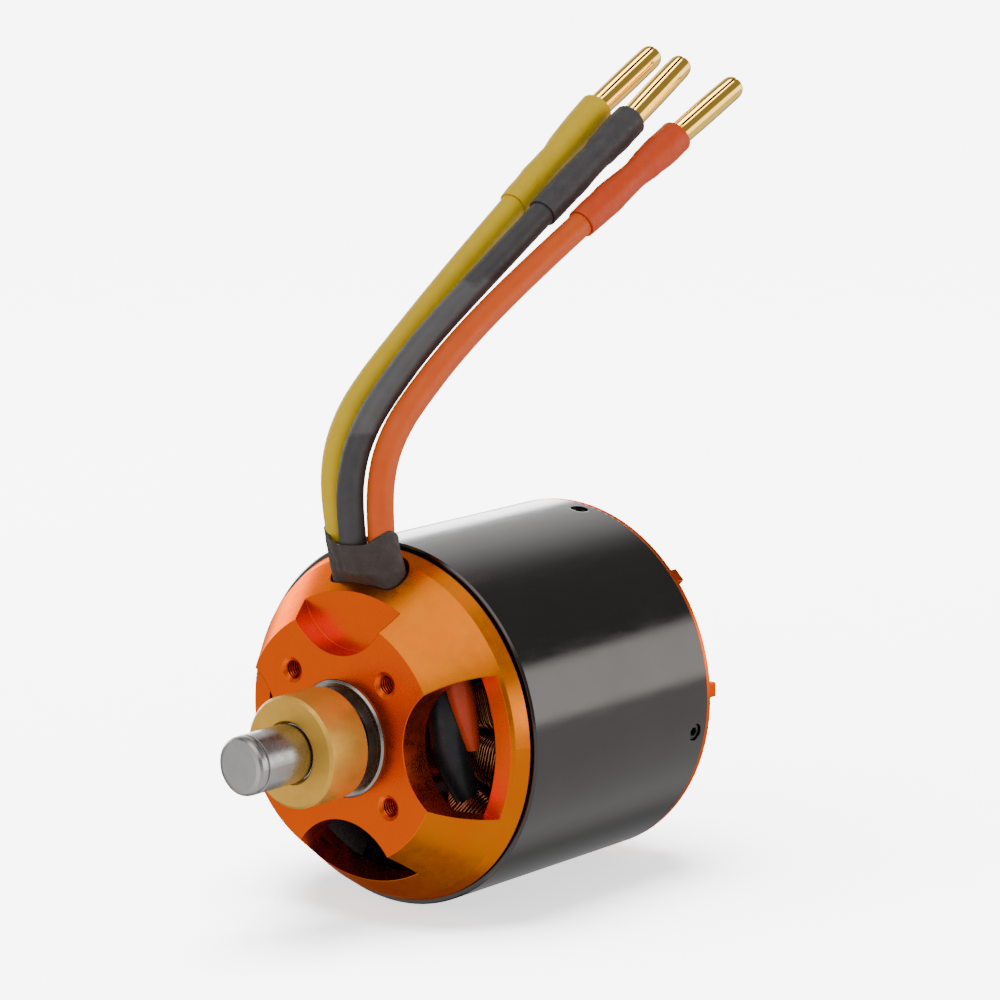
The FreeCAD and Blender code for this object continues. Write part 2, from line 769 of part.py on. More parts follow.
def bell_screws():
    """Screws that hold the can to the bell, and those that hold the bell on the shaft."""
    screws = []
    for index in range(CAN_SCREW_COUNT):
        angle = CAN_SCREW_ANGLE + 360.0 / CAN_SCREW_COUNT * index
        screws.append(grub_screw(f"can_screw_{index + 1}", d["can_screw_radius"], d["can_screw_length"], angle,
                                 d["can_screw_head"], d["can_screw_middle"]))
    add_node(group("can_screw_set", screws), "can_screws")
    screws = []
    for index, angle in enumerate(BELL_SCREW_ANGLES):
        length = 5.0
        screws.append(grub_screw(f"bell_screw_{index + 1}", d["set_screw_radius"], length, angle,
                                 d["shaft_radius"] + (length + 0.1), d["bell_screw_middle"]))
    add_node(group("bell_screw_set", screws), "bell_set_screws")


def exit_wrap():
    """Heat-shrink wrap round the three leads: a plug in the bracket's slot and a block that leans forward."""
    plug = new_body("wrap_plug")
    clearance = 0.3
    sketch = add_sketch(plug, "wrap_plug_outline", "XY_Plane", offset=18.9)
    draw_slot(sketch, d["lead_slot_length"] - clearance, d["lead_slot_width"] - clearance,
              d["lead_slot_middle"])
    pad(plug, "wrap_plug_pad", sketch, 6.0)
    block = new_body("wrap_block")
    sections = []
    for name, height, length, width, middle, shift in (
        ("foot", 20.0, 11.6, 4.4, 7.3, -0.2),
        ("top", 26.8, 12.0, 6.9, 3.8, 0.6),
    ):
        sketch = add_sketch(block, f"wrap_{name}_outline", "XY_Plane", offset=height)
        draw_slot(sketch, as_size(length), as_size(width), as_size(middle), shift)
        sections.append(sketch)
    doc.recompute()
    loft = block.newObject("PartDesign::AdditiveLoft", "wrap_block_loft")
    loft.Profile = sections[0]
    loft.Sections = sections[1:]
    loft.Ruled = True
    seat = turned_part("wrap_seat", [
        (0.0, 0.0),
        (d["face_radius"], 0.0),
        (d["cone_radius"] + 0.02, d["cone_back"]),
        (d["rim_radius"] + 0.02, d["rim_back"]),
        (d["rim_radius"] + 0.02, d["can_front"]),
        (0.0, d["can_front"]),
    ])
    above = boolean("Cut", "wrap_above_cone", block, seat)
    return add_node(boolean("Fuse", "wrap_whole", above, plug), "exit_wrap")


def rounded_path(points, radius, name):
    """Straight runs joined by arcs as large as the runs allow; prints the smallest radius."""
    starts = [points[0]]
    edges = []
    radii = []
    for before, corner, after in zip(points, points[1:], points[2:]):
        arrive = (corner - before).normalize()
        leave = (after - corner).normalize()
        half_turn = 0.5 * arrive.getAngle(leave)
        setback = 0.45 * min((corner - before).Length, (after - corner).Length)
        bend = setback / math.tan(half_turn)
        radii.append(bend)
        first = corner - arrive * setback
        last = corner + leave * setback
        to_centre = (leave - arrive).normalize()
        middle = corner + to_centre * (bend / math.cos(half_turn) - bend)
        edges.append(Part.LineSegment(starts[-1], first).toShape())
        edges.append(Part.Arc(first, middle, last).toShape())
        starts.append(last)
    edges.append(Part.LineSegment(starts[-1], points[-1]).toShape())
    print(f"{name}: length {sum(edge.Length for edge in edges):.1f}, arc radii in diameters "
          + " ".join(f"{bend / (2 * radius):.1f}" for bend in radii))
    return Part.Wire(edges)


def tube_along(route, label):
    """A round lead along a route, as one solid whose volume is checked against its length."""
    points = [Vector(*point) for point in route]
    radius = sheet.get("lead_radius")
    path = rounded_path(points, radius, label)
    section = Part.Wire(Part.makeCircle(radius, points[0], points[1] - points[0]))
    solid = path.makePipeShell([section], True, False)
    expected = math.pi * radius * radius * path.Length
    if abs(solid.Volume - expected) > 0.002 * expected:
        raise RuntimeError(f"{label} has volume {solid.Volume:.2f}, not {expected:.2f}")
    feature = doc.addObject("Part::Feature", label)
    feature.Shape = solid
    feature.Placement = Placement()
    return add_node(feature, label)


def connector(colour, start, direction):
    """The heat-shrink sleeve and gold bullet on a lead's end."""
    length = d["sleeve_length"]
    sleeve = turned_part(f"connector_sleeve_{colour}", [
        (0.0, 0.0),
        (d["sleeve_lead_radius"], 0.0),
        (d["sleeve_lead_radius"], length * 0.45),
        (d["sleeve_bullet_radius"], length * 0.55),
        (d["sleeve_bullet_radius"], length),
        (0.0, length),
    ])
    bullet = turned_part(f"bullet_{colour}", [
        (0.0, 0.0),
        (d["bullet_radius"], 0.0),
        (d["bullet_radius"], d["bullet_length"] - 0.5),
        (d["bullet_radius"] - 0.15, d["bullet_length"] - 0.2),
        (d["bullet_radius"] - 0.5, d["bullet_length"]),
        (0.0, d["bullet_length"]),
    ])
    slit = add_sketch(bullet, f"bullet_{colour}_slit_outline", "XY_Plane")
    draw_outline(slit, [
        (0.6, 2.2),
        (d["bullet_radius"] + 1.0, 2.2),
        (d["bullet_radius"] + 1.0, d["bullet_length"] - 1.6),
        (0.6, d["bullet_length"] - 1.6),
    ])
    doc.recompute()
    cut = bullet.newObject("PartDesign::Pocket", f"bullet_{colour}_slit")
    cut.Profile = slit
    cut.Midplane = True
    bind(cut, "Length", d["bullet_slit"])
    cut_less(bullet, cut)
    turn = Rotation(Y_AXIS, direction)
    sleeve.Placement = Placement(start, turn)
    bullet.Placement = Placement(start + direction * length.value, turn * Rotation(Y_AXIS, 200))
    add_node(sleeve, f"connector_sleeve_{colour}")
    add_node(bullet, f"bullet_{colour}")


def leads():
    """Three sleeved leads with their connectors, and the coil tails inside the motor."""
    for colour, route in LEAD_ROUTES.items():
        tube_along(route, f"lead_{colour}")
        last = Vector(*route[-1])
        connector(colour, last, (last - Vector(*route[-2])).normalize())
    for colour, route in TAIL_ROUTES.items():
        tube_along(route, f"coil_tail_{colour}")


def export_nodes():
    """Check every object, then write one STEP file for each sub-part."""
    doc.recompute()
    failed = [item.Name for item in doc.Objects if {"Invalid", "Error"} & set(item.State)]
    if failed:
        raise RuntimeError(f"failed objects: {failed}")
    for label, feature in nodes.items():
        if feature.Shape.isNull() or not feature.Shape.isValid() or not feature.Shape.Solids:
            raise RuntimeError(f"{label} has no valid solid")
    os.makedirs("parts", exist_ok=True)
    for label, feature in nodes.items():
        feature.Shape.exportStep(f"parts/{label}.step")
    print(f"{len(nodes)} sub-parts written")


mount_bracket()
bearing("front", -d["bearing_stand_off"])
bearing("rear", d["rear_bearing_front"])
stator_core()
for tooth_number in range(TOOTH_COUNT):
    coil(tooth_number)
exit_wrap()
leads()
shaft()
shaft_collar()
flux_ring()
for magnet_number in range(MAGNET_COUNT):
    magnet(magnet_number)
end_bell()
bell_screws()
export_nodes()
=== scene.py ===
"""Looks of the brushless outrunner motor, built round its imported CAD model. Lengths are in metres."""
import math
import random

import bmesh
import bpy
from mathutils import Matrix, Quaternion, Vector, noise


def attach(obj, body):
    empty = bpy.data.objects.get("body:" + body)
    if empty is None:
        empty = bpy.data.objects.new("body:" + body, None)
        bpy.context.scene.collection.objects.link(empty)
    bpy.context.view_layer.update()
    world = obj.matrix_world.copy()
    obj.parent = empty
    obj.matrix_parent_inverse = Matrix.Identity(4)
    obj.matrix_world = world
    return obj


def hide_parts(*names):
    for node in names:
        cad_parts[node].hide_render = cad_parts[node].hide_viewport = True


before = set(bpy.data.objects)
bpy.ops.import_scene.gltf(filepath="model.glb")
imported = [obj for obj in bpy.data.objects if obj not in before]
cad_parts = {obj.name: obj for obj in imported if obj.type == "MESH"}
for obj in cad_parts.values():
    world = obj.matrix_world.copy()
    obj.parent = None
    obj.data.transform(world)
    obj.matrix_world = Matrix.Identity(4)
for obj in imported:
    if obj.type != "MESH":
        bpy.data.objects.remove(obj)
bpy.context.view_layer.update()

MM = 0.001
scene = bpy.context.scene

# ---------------------------------------------------------------- camera

CAMERA_AIM = Vector((13.23, 18.47, 30.75)) * MM
CAMERA_DISTANCE = 558.8 * MM
CAMERA_AZIMUTH = math.radians(40.28)
CAMERA_ELEVATION = math.radians(10.21)
CAMERA_ROLL = math.radians(-1.32)
CAMERA_LENS = 151.2

towards_camera = Vector((
    math.sin(CAMERA_AZIMUTH) * math.cos(CAMERA_ELEVATION),
    -math.cos(CAMERA_AZIMUTH) * math.cos(CAMERA_ELEVATION),
    math.sin(CAMERA_ELEVATION),
))
camera_data = bpy.data.cameras.new("camera")
camera_data.lens = CAMERA_LENS
camera_data.sensor_width = 36.0
camera_data.clip_start = 0.01
camera = bpy.data.objects.new("camera", camera_data)
scene.collection.objects.link(camera)
camera.location = CAMERA_AIM + towards_camera * CAMERA_DISTANCE
camera.rotation_mode = "QUATERNION"
camera.rotation_quaternion = (-towards_camera).to_track_quat("-Z", "Y") @ Quaternion((0, 0, 1), CAMERA_ROLL)
scene.camera = camera

# ---------------------------------------------------------------- leads

LEAD_RADIUS = 1.825 * MM
SLEEVE_LENGTH = 22.5 * MM

LEAD_ROUTES = {
    "yellow": [
        (-2.9, 4.6, 25.6), (-3.0, 3.5, 31.5), (-3.1, 4.1, 37.3), (-3.1, 6.5, 41.8), (-3.0, 10.3, 45.7),
        (-2.9, 18.7, 51.8), (-3.1, 30.8, 59.8), (-3.2, 42.1, 66.9),
    ],
    "black": [
        (0.8, 3.0, 25.4), (1.0, 2.0, 31.2), (1.1, 2.9, 37.0), (1.2, 5.3, 41.2), (1.3, 8.9, 44.9),
        (1.5, 17.2, 51.4), (1.8, 30.1, 59.1), (2.0, 42.1, 66.1),
    ],
    "orange": [
        (4.0, 5.0, 25.6), (4.4, 4.2, 31.2), (4.6, 5.0, 36.8), (4.7, 7.5, 40.9), (4.8, 11.1, 44.3),
        (5.1, 19.7, 50.7), (5.7, 32.4, 58.1), (6.6, 44.8, 64.6),
    ],
}
# How far each bullet leans out of line with its sleeve.
BULLET_LEANS = {
    "yellow": Vector((0.075, 0.063, -0.02)),
    "black": Vector((0.0, 0.0, 0.0)),
    "orange": Vector((0.02, 0.016, 0.0)),
}


def route_curve(name, route, radius, tapers=None):
    """A round tube on a smooth spline whose control points are the route's points."""
    curve = bpy.data.curves.new(name, "CURVE")
    curve.dimensions = "3D"
    curve.bevel_depth = radius
    curve.bevel_resolution = 8
    curve.resolution_u = 16
    curve.use_fill_caps = True
    spline = curve.splines.new("NURBS")
    spline.points.add(len(route) - 1)
    for index, point in enumerate(route):
        spline.points[index].co = (point[0] * MM, point[1] * MM, point[2] * MM, 1.0)
        spline.points[index].radius = tapers[index] if tapers else 1.0
    spline.order_u = 3
    spline.use_endpoint_u = True
    piece = bpy.data.objects.new(name, curve)
    scene.collection.objects.link(piece)
    return piece


# ---------------------------------------------------------------- procedural materials


class Surface:
    """A node material whose patterns follow the object's own coordinates, in metres."""

    def __init__(self, name, colour, roughness, metallic=0.0, **sockets):
        self.material = bpy.data.materials.new(name)
        self.material.use_nodes = True
        self.tree = self.material.node_tree
        self.shader = self.tree.nodes["Principled BSDF"]
        self.colour = (*colour, 1.0)
        self.shader.inputs["Base Color"].default_value = self.colour
        self.shader.inputs["Roughness"].default_value = roughness
        self.shader.inputs["Metallic"].default_value = metallic
        for socket, value in sockets.items():
            self.shader.inputs[socket.replace("_", " ")].default_value = value
        place = self.tree.nodes.new("ShaderNodeTexCoord")
        self.place = place.outputs["Object"]
        split = self.tree.nodes.new("ShaderNodeSeparateXYZ")
        self.tree.links.new(self.place, split.inputs[0])
        self.x, self.y, self.z = split.outputs
        upright = self.tree.nodes.new("ShaderNodeSeparateXYZ")
        self.tree.links.new(place.outputs["Normal"], upright.inputs[0])
        self.normal_y = upright.outputs["Y"]
        self.base = None
        self.normal = None

    def put(self, socket, value):
        """Link a socket, or set it when the value is a plain number or colour."""
        if isinstance(value, bpy.types.NodeSocket):
            self.tree.links.new(value, socket)
        elif value is not None:
            socket.default_value = value

    def math(self, operation, a, b=None, c=None):
        node = self.tree.nodes.new("ShaderNodeMath")
        node.operation = operation
        for socket, value in zip(node.inputs, (a, b, c)):
            self.put(socket, value)
        return node.outputs[0]

    def radius(self):
        """Distance from the shaft's axis."""
        squares = self.math("ADD", self.math("POWER", self.x, 2.0), self.math("POWER", self.z, 2.0))
        return self.math("SQRT", squares)

    def across_axis(self):
        """One on faces square to the shaft, nothing on walls along it."""
        return self.spread(self.math("ABSOLUTE", self.normal_y), 0.0, 1.0, start=0.3, end=0.6)

    def along_axis(self):
        return self.math("SUBTRACT", 1.0, self.across_axis())

    def noise(self, size, detail=3.0, stretch=None):
        """Noise whose features are about size across, or longer along an axis where stretch is above one."""
        node = self.tree.nodes.new("ShaderNodeTexNoise")
        node.inputs["Scale"].default_value = 1.0 / size
        node.inputs["Detail"].default_value = detail
        vector = self.place
        if stretch:
            scaling = self.tree.nodes.new("ShaderNodeMapping")
            scaling.inputs["Scale"].default_value = [1.0 / factor for factor in stretch]
            self.put(scaling.inputs["Vector"], vector)
            vector = scaling.outputs[0]
        self.put(node.inputs["Vector"], vector)
        return node.outputs["Fac"]

    def rings(self, along, pitch):
        """One-dimensional noise along a coordinate: the fine rings that a lathe tool leaves."""
        node = self.tree.nodes.new("ShaderNodeTexNoise")
        node.noise_dimensions = "1D"
        node.inputs["Scale"].default_value = 1.0 / pitch
        node.inputs["Detail"].default_value = 1.5
        self.put(node.inputs["W"], along)
        return node.outputs["Fac"]

    def spread(self, value, low, high, start=0.3, end=0.7):
        """Map a pattern from start..end to low..high."""
        node = self.tree.nodes.new("ShaderNodeMapRange")
        node.inputs["From Min"].default_value = start
        node.inputs["From Max"].default_value = end
        node.inputs["To Min"].default_value = low
        node.inputs["To Max"].default_value = high
        self.put(node.inputs["Value"], value)
        return node.outputs[0]

    def tint(self, factor, colour):
        """Mix the base colour towards another one by a factor."""
        node = self.tree.nodes.new("ShaderNodeMix")
        node.data_type = "RGBA"
        node.clamp_factor = True
        self.put(node.inputs[0], factor)
        self.put(node.inputs[6], self.base if self.base else self.colour)
        self.put(node.inputs[7], (*colour, 1.0))
        self.base = node.outputs[2]
        self.put(self.shader.inputs["Base Color"], self.base)
        return self

    def gloss(self, value):
        self.put(self.shader.inputs["Roughness"], value)
        return self

    def bump(self, height, depth, strength=1.0):
        """Add relief whose full height is depth."""
        node = self.tree.nodes.new("ShaderNodeBump")
        node.inputs["Strength"].default_value = strength
        node.inputs["Distance"].default_value = depth
        self.put(node.inputs["Height"], height)
        self.put(node.inputs["Normal"], self.normal)
        self.normal = node.outputs[0]
        self.put(self.shader.inputs["Normal"], self.normal)
        return self

    def turning_rings(self, pitch, depth, walls_first=True):
        """The rings that turning leaves: along the walls round the shaft's axis and across the faces."""
        walls = (self.y, self.along_axis)
        faces = (self.radius(), self.across_axis)
        for place, mask in (walls, faces) if walls_first else (faces, walls):
            self.bump(self.math("MULTIPLY", self.rings(place, pitch), mask()), depth)
        return self

    def soft_edges(self, radius):
        """Sharp edges catch the light as if they were broken by radius."""
        node = self.tree.nodes.new("ShaderNodeBevel")
        node.samples = 16
        node.inputs["Radius"].default_value = radius
        self.normal = node.outputs[0]
        self.put(self.shader.inputs["Normal"], self.normal)
        return self


MOUNT_HOLE_CIRCLE = 23.5 * MM
MOUNT_HOLE_RADIUS = 1.25 * MM
THREAD_PITCH = 0.45 * MM
SHEET_PITCH = 0.35 * MM
RUBBED_FROM, RUBBED_TO, RUBBED_EDGE = 42.0 * MM, 59.4 * MM, 0.8 * MM


def anodised_orange():
    """Dyed, anodised aluminium, turned, with threads in the mounting holes."""
    s = Surface("anodised_orange", (0.74, 0.09, 0.001), 0.3, metallic=1.0,
                Specular_Tint=(0.95, 0.36, 0.16, 1.0))
    s.soft_edges(0.16 * MM)
    slope = s.math("ABSOLUTE", s.normal_y)
    cone = s.math("MULTIPLY", s.spread(slope, 0.0, 1.0, start=0.3, end=0.4),
                  s.spread(slope, 1.0, 0.0, start=0.68, end=0.78))
    s.tint(cone, (0.6, 0.155, 0.001))
    s.tint(s.spread(s.noise(6.0 * MM), 0.0, 0.3), (0.68, 0.074, 0.001))
    s.gloss(s.spread(s.noise(1.8 * MM, detail=6.0), 0.24, 0.34))
    s.turning_rings(pitch=0.55 * MM, depth=0.004 * MM, walls_first=False)
    hole = 0.5 * MOUNT_HOLE_CIRCLE * math.sqrt(0.5)
    across = s.math("SUBTRACT", s.math("ABSOLUTE", s.x), hole)
    up = s.math("SUBTRACT", s.math("ABSOLUTE", s.z), hole)
    distance = s.math("SQRT", s.math("ADD", s.math("POWER", across, 2.0), s.math("POWER", up, 2.0)))
    inside = s.math("MULTIPLY", s.math("LESS_THAN", distance, MOUNT_HOLE_RADIUS + 0.05 * MM),
                    s.math("LESS_THAN", s.y, 5.0 * MM))
    thread = s.math("SINE", s.math("MULTIPLY", s.y, math.tau / THREAD_PITCH))
    s.bump(s.math("MULTIPLY", thread, inside), 0.06 * MM)
    return s.material


def can_black():
    """Black-nickel plated steel tube with fine drawing lines and handling scratches."""
    s = Surface("can_black", (0.072, 0.067, 0.064), 0.12, metallic=1.0)
    s.soft_edges(0.1 * MM)
    s.tint(s.spread(s.noise(9.0 * MM), 0.0, 0.5), (0.062, 0.057, 0.054))
    s.gloss(s.spread(s.noise(1.2 * MM, detail=6.0, stretch=(1, 5, 1)), 0.09, 0.17))
    s.bump(s.noise(0.12 * MM, detail=3.0, stretch=(1, 14, 1)), 0.0011 * MM)
    s.bump(s.noise(0.35 * MM, detail=5.0), 0.0009 * MM)
    scratch = s.noise(0.5 * MM, detail=2.0, stretch=(1, 1, 22))
    s.bump(s.spread(scratch, 0.0, 1.0, start=0.66, end=0.7), 0.0008 * MM)
    return s.material


def turned_metal(name, colour, roughness, pitch=0.4, depth=0.003, darker=None, turned=0.0, metallic=1.0):
    """Bright machined metal with lathe rings along its walls and over its faces."""
    s = Surface(name, colour, roughness, metallic=metallic)
    s.soft_edges(0.08 * MM)
    s.tint(s.spread(s.noise(3.0 * MM), 0.0, 0.6), darker or tuple(channel * 0.8 for channel in colour))
    s.gloss(s.spread(s.noise(0.9 * MM, detail=5.0), roughness * 0.8, roughness * 1.3))
    s.turning_rings(pitch * MM, depth * MM)
    if turned:
        s.shader.inputs["Anisotropic"].default_value = turned
        tangent = s.tree.nodes.new("ShaderNodeTangent")
        tangent.direction_type = "RADIAL"
        tangent.axis = "Y"
        s.put(s.shader.inputs["Tangent"], tangent.outputs[0])
    return s.material


def laminated_steel():
    """Stacked electrical steel sheets under dark lacquer."""
    s = Surface("laminated_steel", (0.035, 0.032, 0.03), 0.42, metallic=0.6)
    sheet = s.math("SINE", s.math("MULTIPLY", s.y, math.tau / SHEET_PITCH))
    s.tint(s.spread(sheet, 0.0, 0.7, start=0.4, end=1.0), (0.015, 0.014, 0.013))
    s.tint(s.spread(s.noise(2.0 * MM), 0.0, 0.4), (0.05, 0.035, 0.025))
    s.bump(sheet, 0.03 * MM)
    return s.material


def enamelled_copper():
    """Enamelled wire: dark brown, with pale glints where it bends."""
    s = Surface("enamelled_copper", (0.5, 0.22, 0.085), 0.2, metallic=1.0, Coat_Weight=0.5)
    s.tint(s.spread(s.noise(1.5 * MM), 0.0, 0.85), (0.2, 0.075, 0.03))
    s.gloss(s.spread(s.noise(0.4 * MM), 0.16, 0.3))
    s.bump(s.noise(0.2 * MM), 0.008 * MM)
    return s.material


def silicone(name, colour, shade, roughness=0.48, worn=None):
    """Soft lead insulation: satin, lumpy over the strands, and rubbed where worn gives a colour."""
    s = Surface(name, colour, roughness, Specular_IOR_Level=0.32)
    s.tint(s.spread(s.noise(2.4 * MM), 0.0, 0.55), shade)
    if worn:
        edge = s.math("ADD", s.z, s.math("MULTIPLY", s.noise(3.0 * MM, detail=4.0), 3.0 * MM))
        patch = s.math("MULTIPLY", s.spread(edge, 0.0, 1.0, start=RUBBED_FROM, end=RUBBED_FROM + RUBBED_EDGE),
                       s.spread(edge, 1.0, 0.0, start=RUBBED_TO, end=RUBBED_TO + RUBBED_EDGE))
        s.tint(s.math("MULTIPLY", patch, s.spread(s.noise(2.0 * MM), 0.75, 1.0)), worn)
    s.gloss(s.spread(s.noise(1.0 * MM, detail=5.0), roughness - 0.06, roughness + 0.1))
    s.bump(s.noise(2.6 * MM, detail=2.0), 0.12 * MM, strength=0.6)
    s.bump(s.noise(0.16 * MM, detail=3.0), 0.012 * MM)
    return s.material


def heat_shrink(name, colour, shade, roughness=0.52):
    """Shrunk tube: satin polyolefin with fine wrinkles round it."""
    s = Surface(name, colour, roughness, Specular_IOR_Level=0.36)
    s.tint(s.spread(s.noise(1.8 * MM, detail=4.0), 0.0, 0.6), shade)
    s.gloss(s.spread(s.noise(0.7 * MM, detail=5.0), roughness - 0.08, roughness + 0.12))
    s.bump(s.noise(1.4 * MM, detail=3.0), 0.12 * MM, strength=0.8)
    s.bump(s.noise(0.14 * MM, detail=4.0), 0.014 * MM)
    return s.material


def gold_plate():
    """Polished gold plating."""
    s = Surface("gold_plate", (1.0, 0.64, 0.11), 0.1, metallic=1.0)
    s.tint(s.spread(s.noise(2.5 * MM), 0.0, 0.5), (0.95, 0.52, 0.06))
    s.gloss(s.spread(s.noise(0.5 * MM, detail=5.0), 0.07, 0.15))
    s.bump(s.noise(0.1 * MM), 0.0008 * MM)
    return s.material


def painted(name, colour, roughness, shade, metallic=0.0):
    """A plain small part with a slightly uneven finish."""
    s = Surface(name, colour, roughness, metallic=metallic)
    s.tint(s.spread(s.noise(1.2 * MM), 0.0, 0.6), shade)
    s.gloss(s.spread(s.noise(0.6 * MM, detail=4.0), roughness * 0.85, roughness * 1.2))
    s.bump(s.noise(0.15 * MM), 0.004 * MM)
    return s.material


ORANGE_METAL = anodised_orange()
CAN = can_black()
SHAFT = turned_metal("shaft_steel", (0.38, 0.37, 0.36), 0.28, pitch=0.3, depth=0.0015, turned=0.5)
BRASS = turned_metal("brass", (0.76, 0.42, 0.06), 0.36, darker=(0.64, 0.32, 0.037), turned=0.8, metallic=0.65)
BEARING = turned_metal("bearing_steel", (0.3, 0.3, 0.29), 0.24, depth=0.001)
SHIELD = turned_metal("bearing_shield", (0.26, 0.255, 0.25), 0.35)
CAGE = turned_metal("bearing_cage", (0.4, 0.36, 0.3), 0.35)
LAMINATIONS = laminated_steel()
COPPER = enamelled_copper()
MAGNET = painted("magnet_nickel", (0.45, 0.45, 0.44), 0.3, (0.3, 0.3, 0.3), metallic=1.0)
SCREW = painted("black_oxide", (0.05, 0.048, 0.046), 0.32, (0.09, 0.085, 0.08), metallic=1.0)
WRAP = heat_shrink("wrap_dark", (0.036, 0.027, 0.024), (0.06, 0.046, 0.041), roughness=0.55)
GOLD = gold_plate()
# A darker gold for the faces inside the bullets' slits: painted shade for the recess.
SLIT_PAINTED_SHADE = painted("gold_slit_painted_shade", (0.3, 0.15, 0.02), 0.5, (0.2, 0.09, 0.012), metallic=1.0)
LEAD_FINISH = {
    "yellow": silicone("lead_yellow_silicone", (0.7, 0.46, 0.001), (0.64, 0.4, 0.001)),
    "black": silicone("lead_black_silicone", (0.042, 0.039, 0.04), (0.06, 0.055, 0.056),
                      worn=(0.095, 0.092, 0.094)),
    "orange": silicone("lead_orange_silicone", (0.68, 0.09, 0.001), (0.6, 0.068, 0.001)),
}
SLEEVE_FINISH = {
    "yellow": heat_shrink("sleeve_yellow_shrink", (0.7, 0.46, 0.001), (0.64, 0.4, 0.001)),
    "black": heat_shrink("sleeve_black_shrink", (0.042, 0.039, 0.041), (0.062, 0.056, 0.059)),
    "orange": heat_shrink("sleeve_orange_shrink", (0.6, 0.056, 0.001), (0.52, 0.041, 0.001)),
}

# ---------------------------------------------------------------- mesh helpers


def skin(name, rings, material):
    """A closed mesh through rings of points, each ring closed on itself, with flat ends."""
    mesh = bpy.data.meshes.new(name)
    build = bmesh.new()
    loops = [[build.verts.new(point) for point in ring] for ring in rings]
    count = len(rings[0])
    for lower, upper in zip(loops, loops[1:]):
        for index in range(count):
            after = (index + 1) % count
            build.faces.new((lower[index], lower[after], upper[after], upper[index]))
    build.faces.new(reversed(loops[0]))
    build.faces.new(loops[-1])
    bmesh.ops.recalc_face_normals(build, faces=build.faces)
    for face in build.faces:
        face.smooth = True
    build.to_mesh(mesh)
    build.free()
    mesh.materials.append(material)
    piece = bpy.data.objects.new(name, mesh)
    scene.collection.objects.link(piece)
    return piece


def frame_along(direction, side):
    """Two unit vectors across a direction, the first as near to side as it can be."""
    across = (side - direction * side.dot(direction)).normalized()
    return across, direction.cross(across)


def eased(pairs, t):
    """Smooth interpolation through (position, value) pairs."""
    for (start, low), (end, high) in zip(pairs, pairs[1:]):
        if t <= end:
            share = (t - start) / (end - start)
            share = share * share * (3.0 - 2.0 * share)
            return low + (high - low) * share
    return pairs[-1][1]


def hull_points(circles, count):
    """count points at equal steps round the convex hull of circles (x, y, radius), counted from +X."""
    dense = []
    for step in range(720):
        angle = math.tau * step / 720
        reach = Vector((math.cos(angle), math.sin(angle)))
        x, y, radius = max(circles, key=lambda c: c[0] * reach.x + c[1] * reach.y + c[2])
        dense.append(Vector((x, y)) + reach * radius)
    lengths = [0.0]
    for first, second in zip(dense, dense[1:] + dense[:1]):
        lengths.append(lengths[-1] + (second - first).length)
    points = []
    place = 0
    for index in range(count):
        wanted = lengths[-1] * index / count
        while lengths[place + 1] < wanted:
            place += 1
        share = (wanted - lengths[place]) / max(lengths[place + 1] - lengths[place], 1e-12)
        points.append(dense[place].lerp(dense[(place + 1) % len(dense)], share))
    return points


# ---------------------------------------------------------------- leads, sleeves and bullets

SLEEVE_PROFILES = {
    "yellow": [(0.0, 2.14), (0.1, 2.2), (0.26, 2.22), (0.46, 2.06), (0.62, 2.3), (0.8, 2.42), (1.0, 2.4)],
    "black": [(0.0, 2.14), (0.12, 2.2), (0.34, 2.22), (0.58, 2.12), (0.7, 2.32), (0.84, 2.46), (1.0, 2.42)],
    "orange": [(0.0, 2.12), (0.1, 2.2), (0.28, 2.26), (0.55, 1.98), (0.7, 2.3), (0.84, 2.46), (1.0, 2.42)],
}


def connector_sleeve(colour, start, direction, seed):
    """Heat-shrink over the solder joint: necked between the lead and the bullet, with an open, rolled end."""
    across, up = frame_along(direction, Vector((1, 0, 0)))
    around, along = 64, 90
    profile = SLEEVE_PROFILES[colour]

    def ring(t, radius, lumps):
        points = []
        for index in range(around):
            angle = math.tau * index / around
            outward = across * math.cos(angle) + up * math.sin(angle)
            place = Vector((math.cos(angle) * 1.3, math.sin(angle) * 1.3, t * 9.0 + seed * 7.3))
            lump = lumps * (0.07 * noise.noise(place) + 0.025 * noise.noise(place * 3.1))
            points.append(start + direction * (t * SLEEVE_LENGTH) + outward * ((radius + lump) * MM))
        return points

    rings = [ring(0.004, 1.84, 0.0), ring(0.0, 2.0, 0.3)]
    for step in range(along + 1):
        t = 0.004 + 0.99 * step / along
        crease = -0.05 * math.exp(-((t - 0.6 - 0.02 * seed) / 0.012) ** 2)
        rings.append(ring(t, eased(profile, t) + crease, min(1.0, 12.0 * t)))
    end = profile[-1][1]
    rings += [ring(0.999, end - 0.06, 1.0), ring(1.0, end - 0.2, 1.0), ring(0.995, end - 0.34, 0.8),
              ring(0.97, 1.86, 0.2), ring(0.9, 1.74, 0.0)]
    piece = skin(f"heat_shrink_{colour}", rings, SLEEVE_FINISH[colour])
    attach(piece, "stator")
    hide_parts(f"connector_sleeve_{colour}")
    return piece


